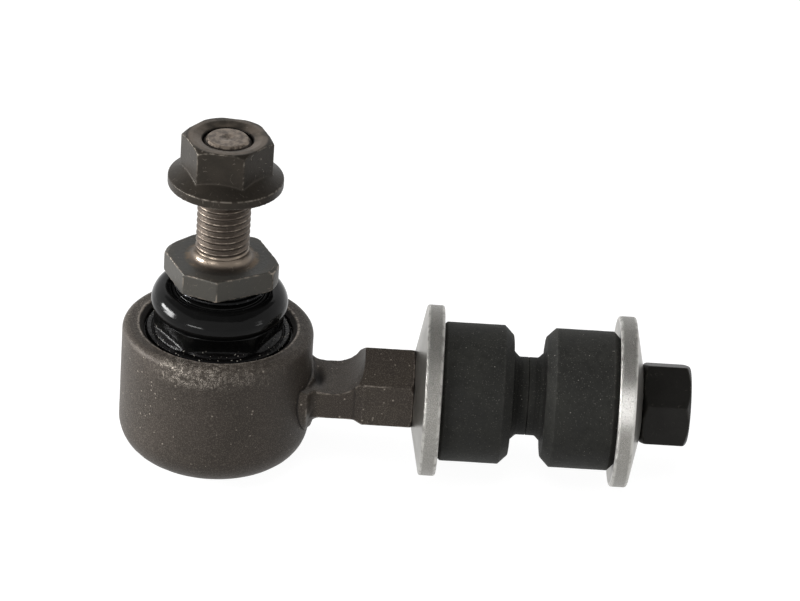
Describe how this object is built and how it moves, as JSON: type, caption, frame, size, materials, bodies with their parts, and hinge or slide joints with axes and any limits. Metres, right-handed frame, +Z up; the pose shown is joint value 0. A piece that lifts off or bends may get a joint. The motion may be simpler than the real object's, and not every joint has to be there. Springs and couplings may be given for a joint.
{
  "type": "stabilizer link",
  "caption": "Short stabilizer link with a ball stud in a forged socket, a hex-necked shank, cupped washers and clamped rubber bushings for the bar eye.",
  "frame": {"origin": "centre of the stud collar's seat face, on the stud axis; the ball centre lies 25.8 mm below it", "axes": "+Z up the stud towards its threaded end, +X from the stud axis along the shank towards the end nut"},
  "size_m": [0.107, 0.0358, 0.0669],
  "materials": {
    "forging": "forged steel, dark phosphate, satin",
    "stud_steel": "cold forged steel with a rolled thread",
    "bearing": "moulded acetal",
    "spring_steel": "oiled spring steel",
    "boot_rubber": "moulded chloroprene, glossy",
    "flange_nut_steel": "dark phosphate with worn edges",
    "zinc_plate": "zinc plated steel",
    "bushing_rubber": "moulded natural rubber, dusty",
    "end_nut_steel": "black oxide"
  },
  "bodies": {
    "link": {"housing_cup": "forging", "link_shank": "forging", "lower_seat": "bearing", "upper_seat": "bearing", "preload_spring": "spring_steel", "cover_ring": "spring_steel", "boot_base_ring": "spring_steel", "inner_washer": "zinc_plate", "inner_bushing": "bushing_rubber", "outer_bushing": "bushing_rubber", "outer_washer": "zinc_plate"},
    "boot": {"dust_boot": "boot_rubber"},
    "clip": {"boot_clip": "spring_steel"},
    "stud": {"ball_stud": "stud_steel"},
    "flange_nut": {"flange_nut": "flange_nut_steel"},
    "end_nut": {"end_nut": "end_nut_steel"}
  },
  "joints": [
    {"name": "stud_swing", "type": "hinge", "parent": "link", "child": "boot", "pos_m": [0, 0, -0.0258], "axis": [0, 1, 0], "range_deg": [-15, 15], "deforming": ["dust_boot"]},
    {"name": "stud_tilt", "type": "hinge", "parent": "boot", "child": "clip", "pos_m": [0, 0, -0.0258], "axis": [1, 0, 0], "range_deg": [-15, 15], "deforming": ["dust_boot"]},
    {"name": "stud_spin", "type": "hinge", "parent": "clip", "child": "stud", "pos_m": [0, 0, -0.0258], "axis": [0, 0, 1], "continuous": true},
    {"name": "flange_nut_turn", "type": "hinge", "parent": "stud", "child": "flange_nut", "pos_m": [0, 0, 0.0154], "axis": [0, 0, 1], "continuous": true},
    {"name": "end_nut_turn", "type": "hinge", "parent": "link", "child": "end_nut", "pos_m": [0.0801, 0, -0.0258], "axis": [1, 0, 0], "continuous": true}
  ]
}
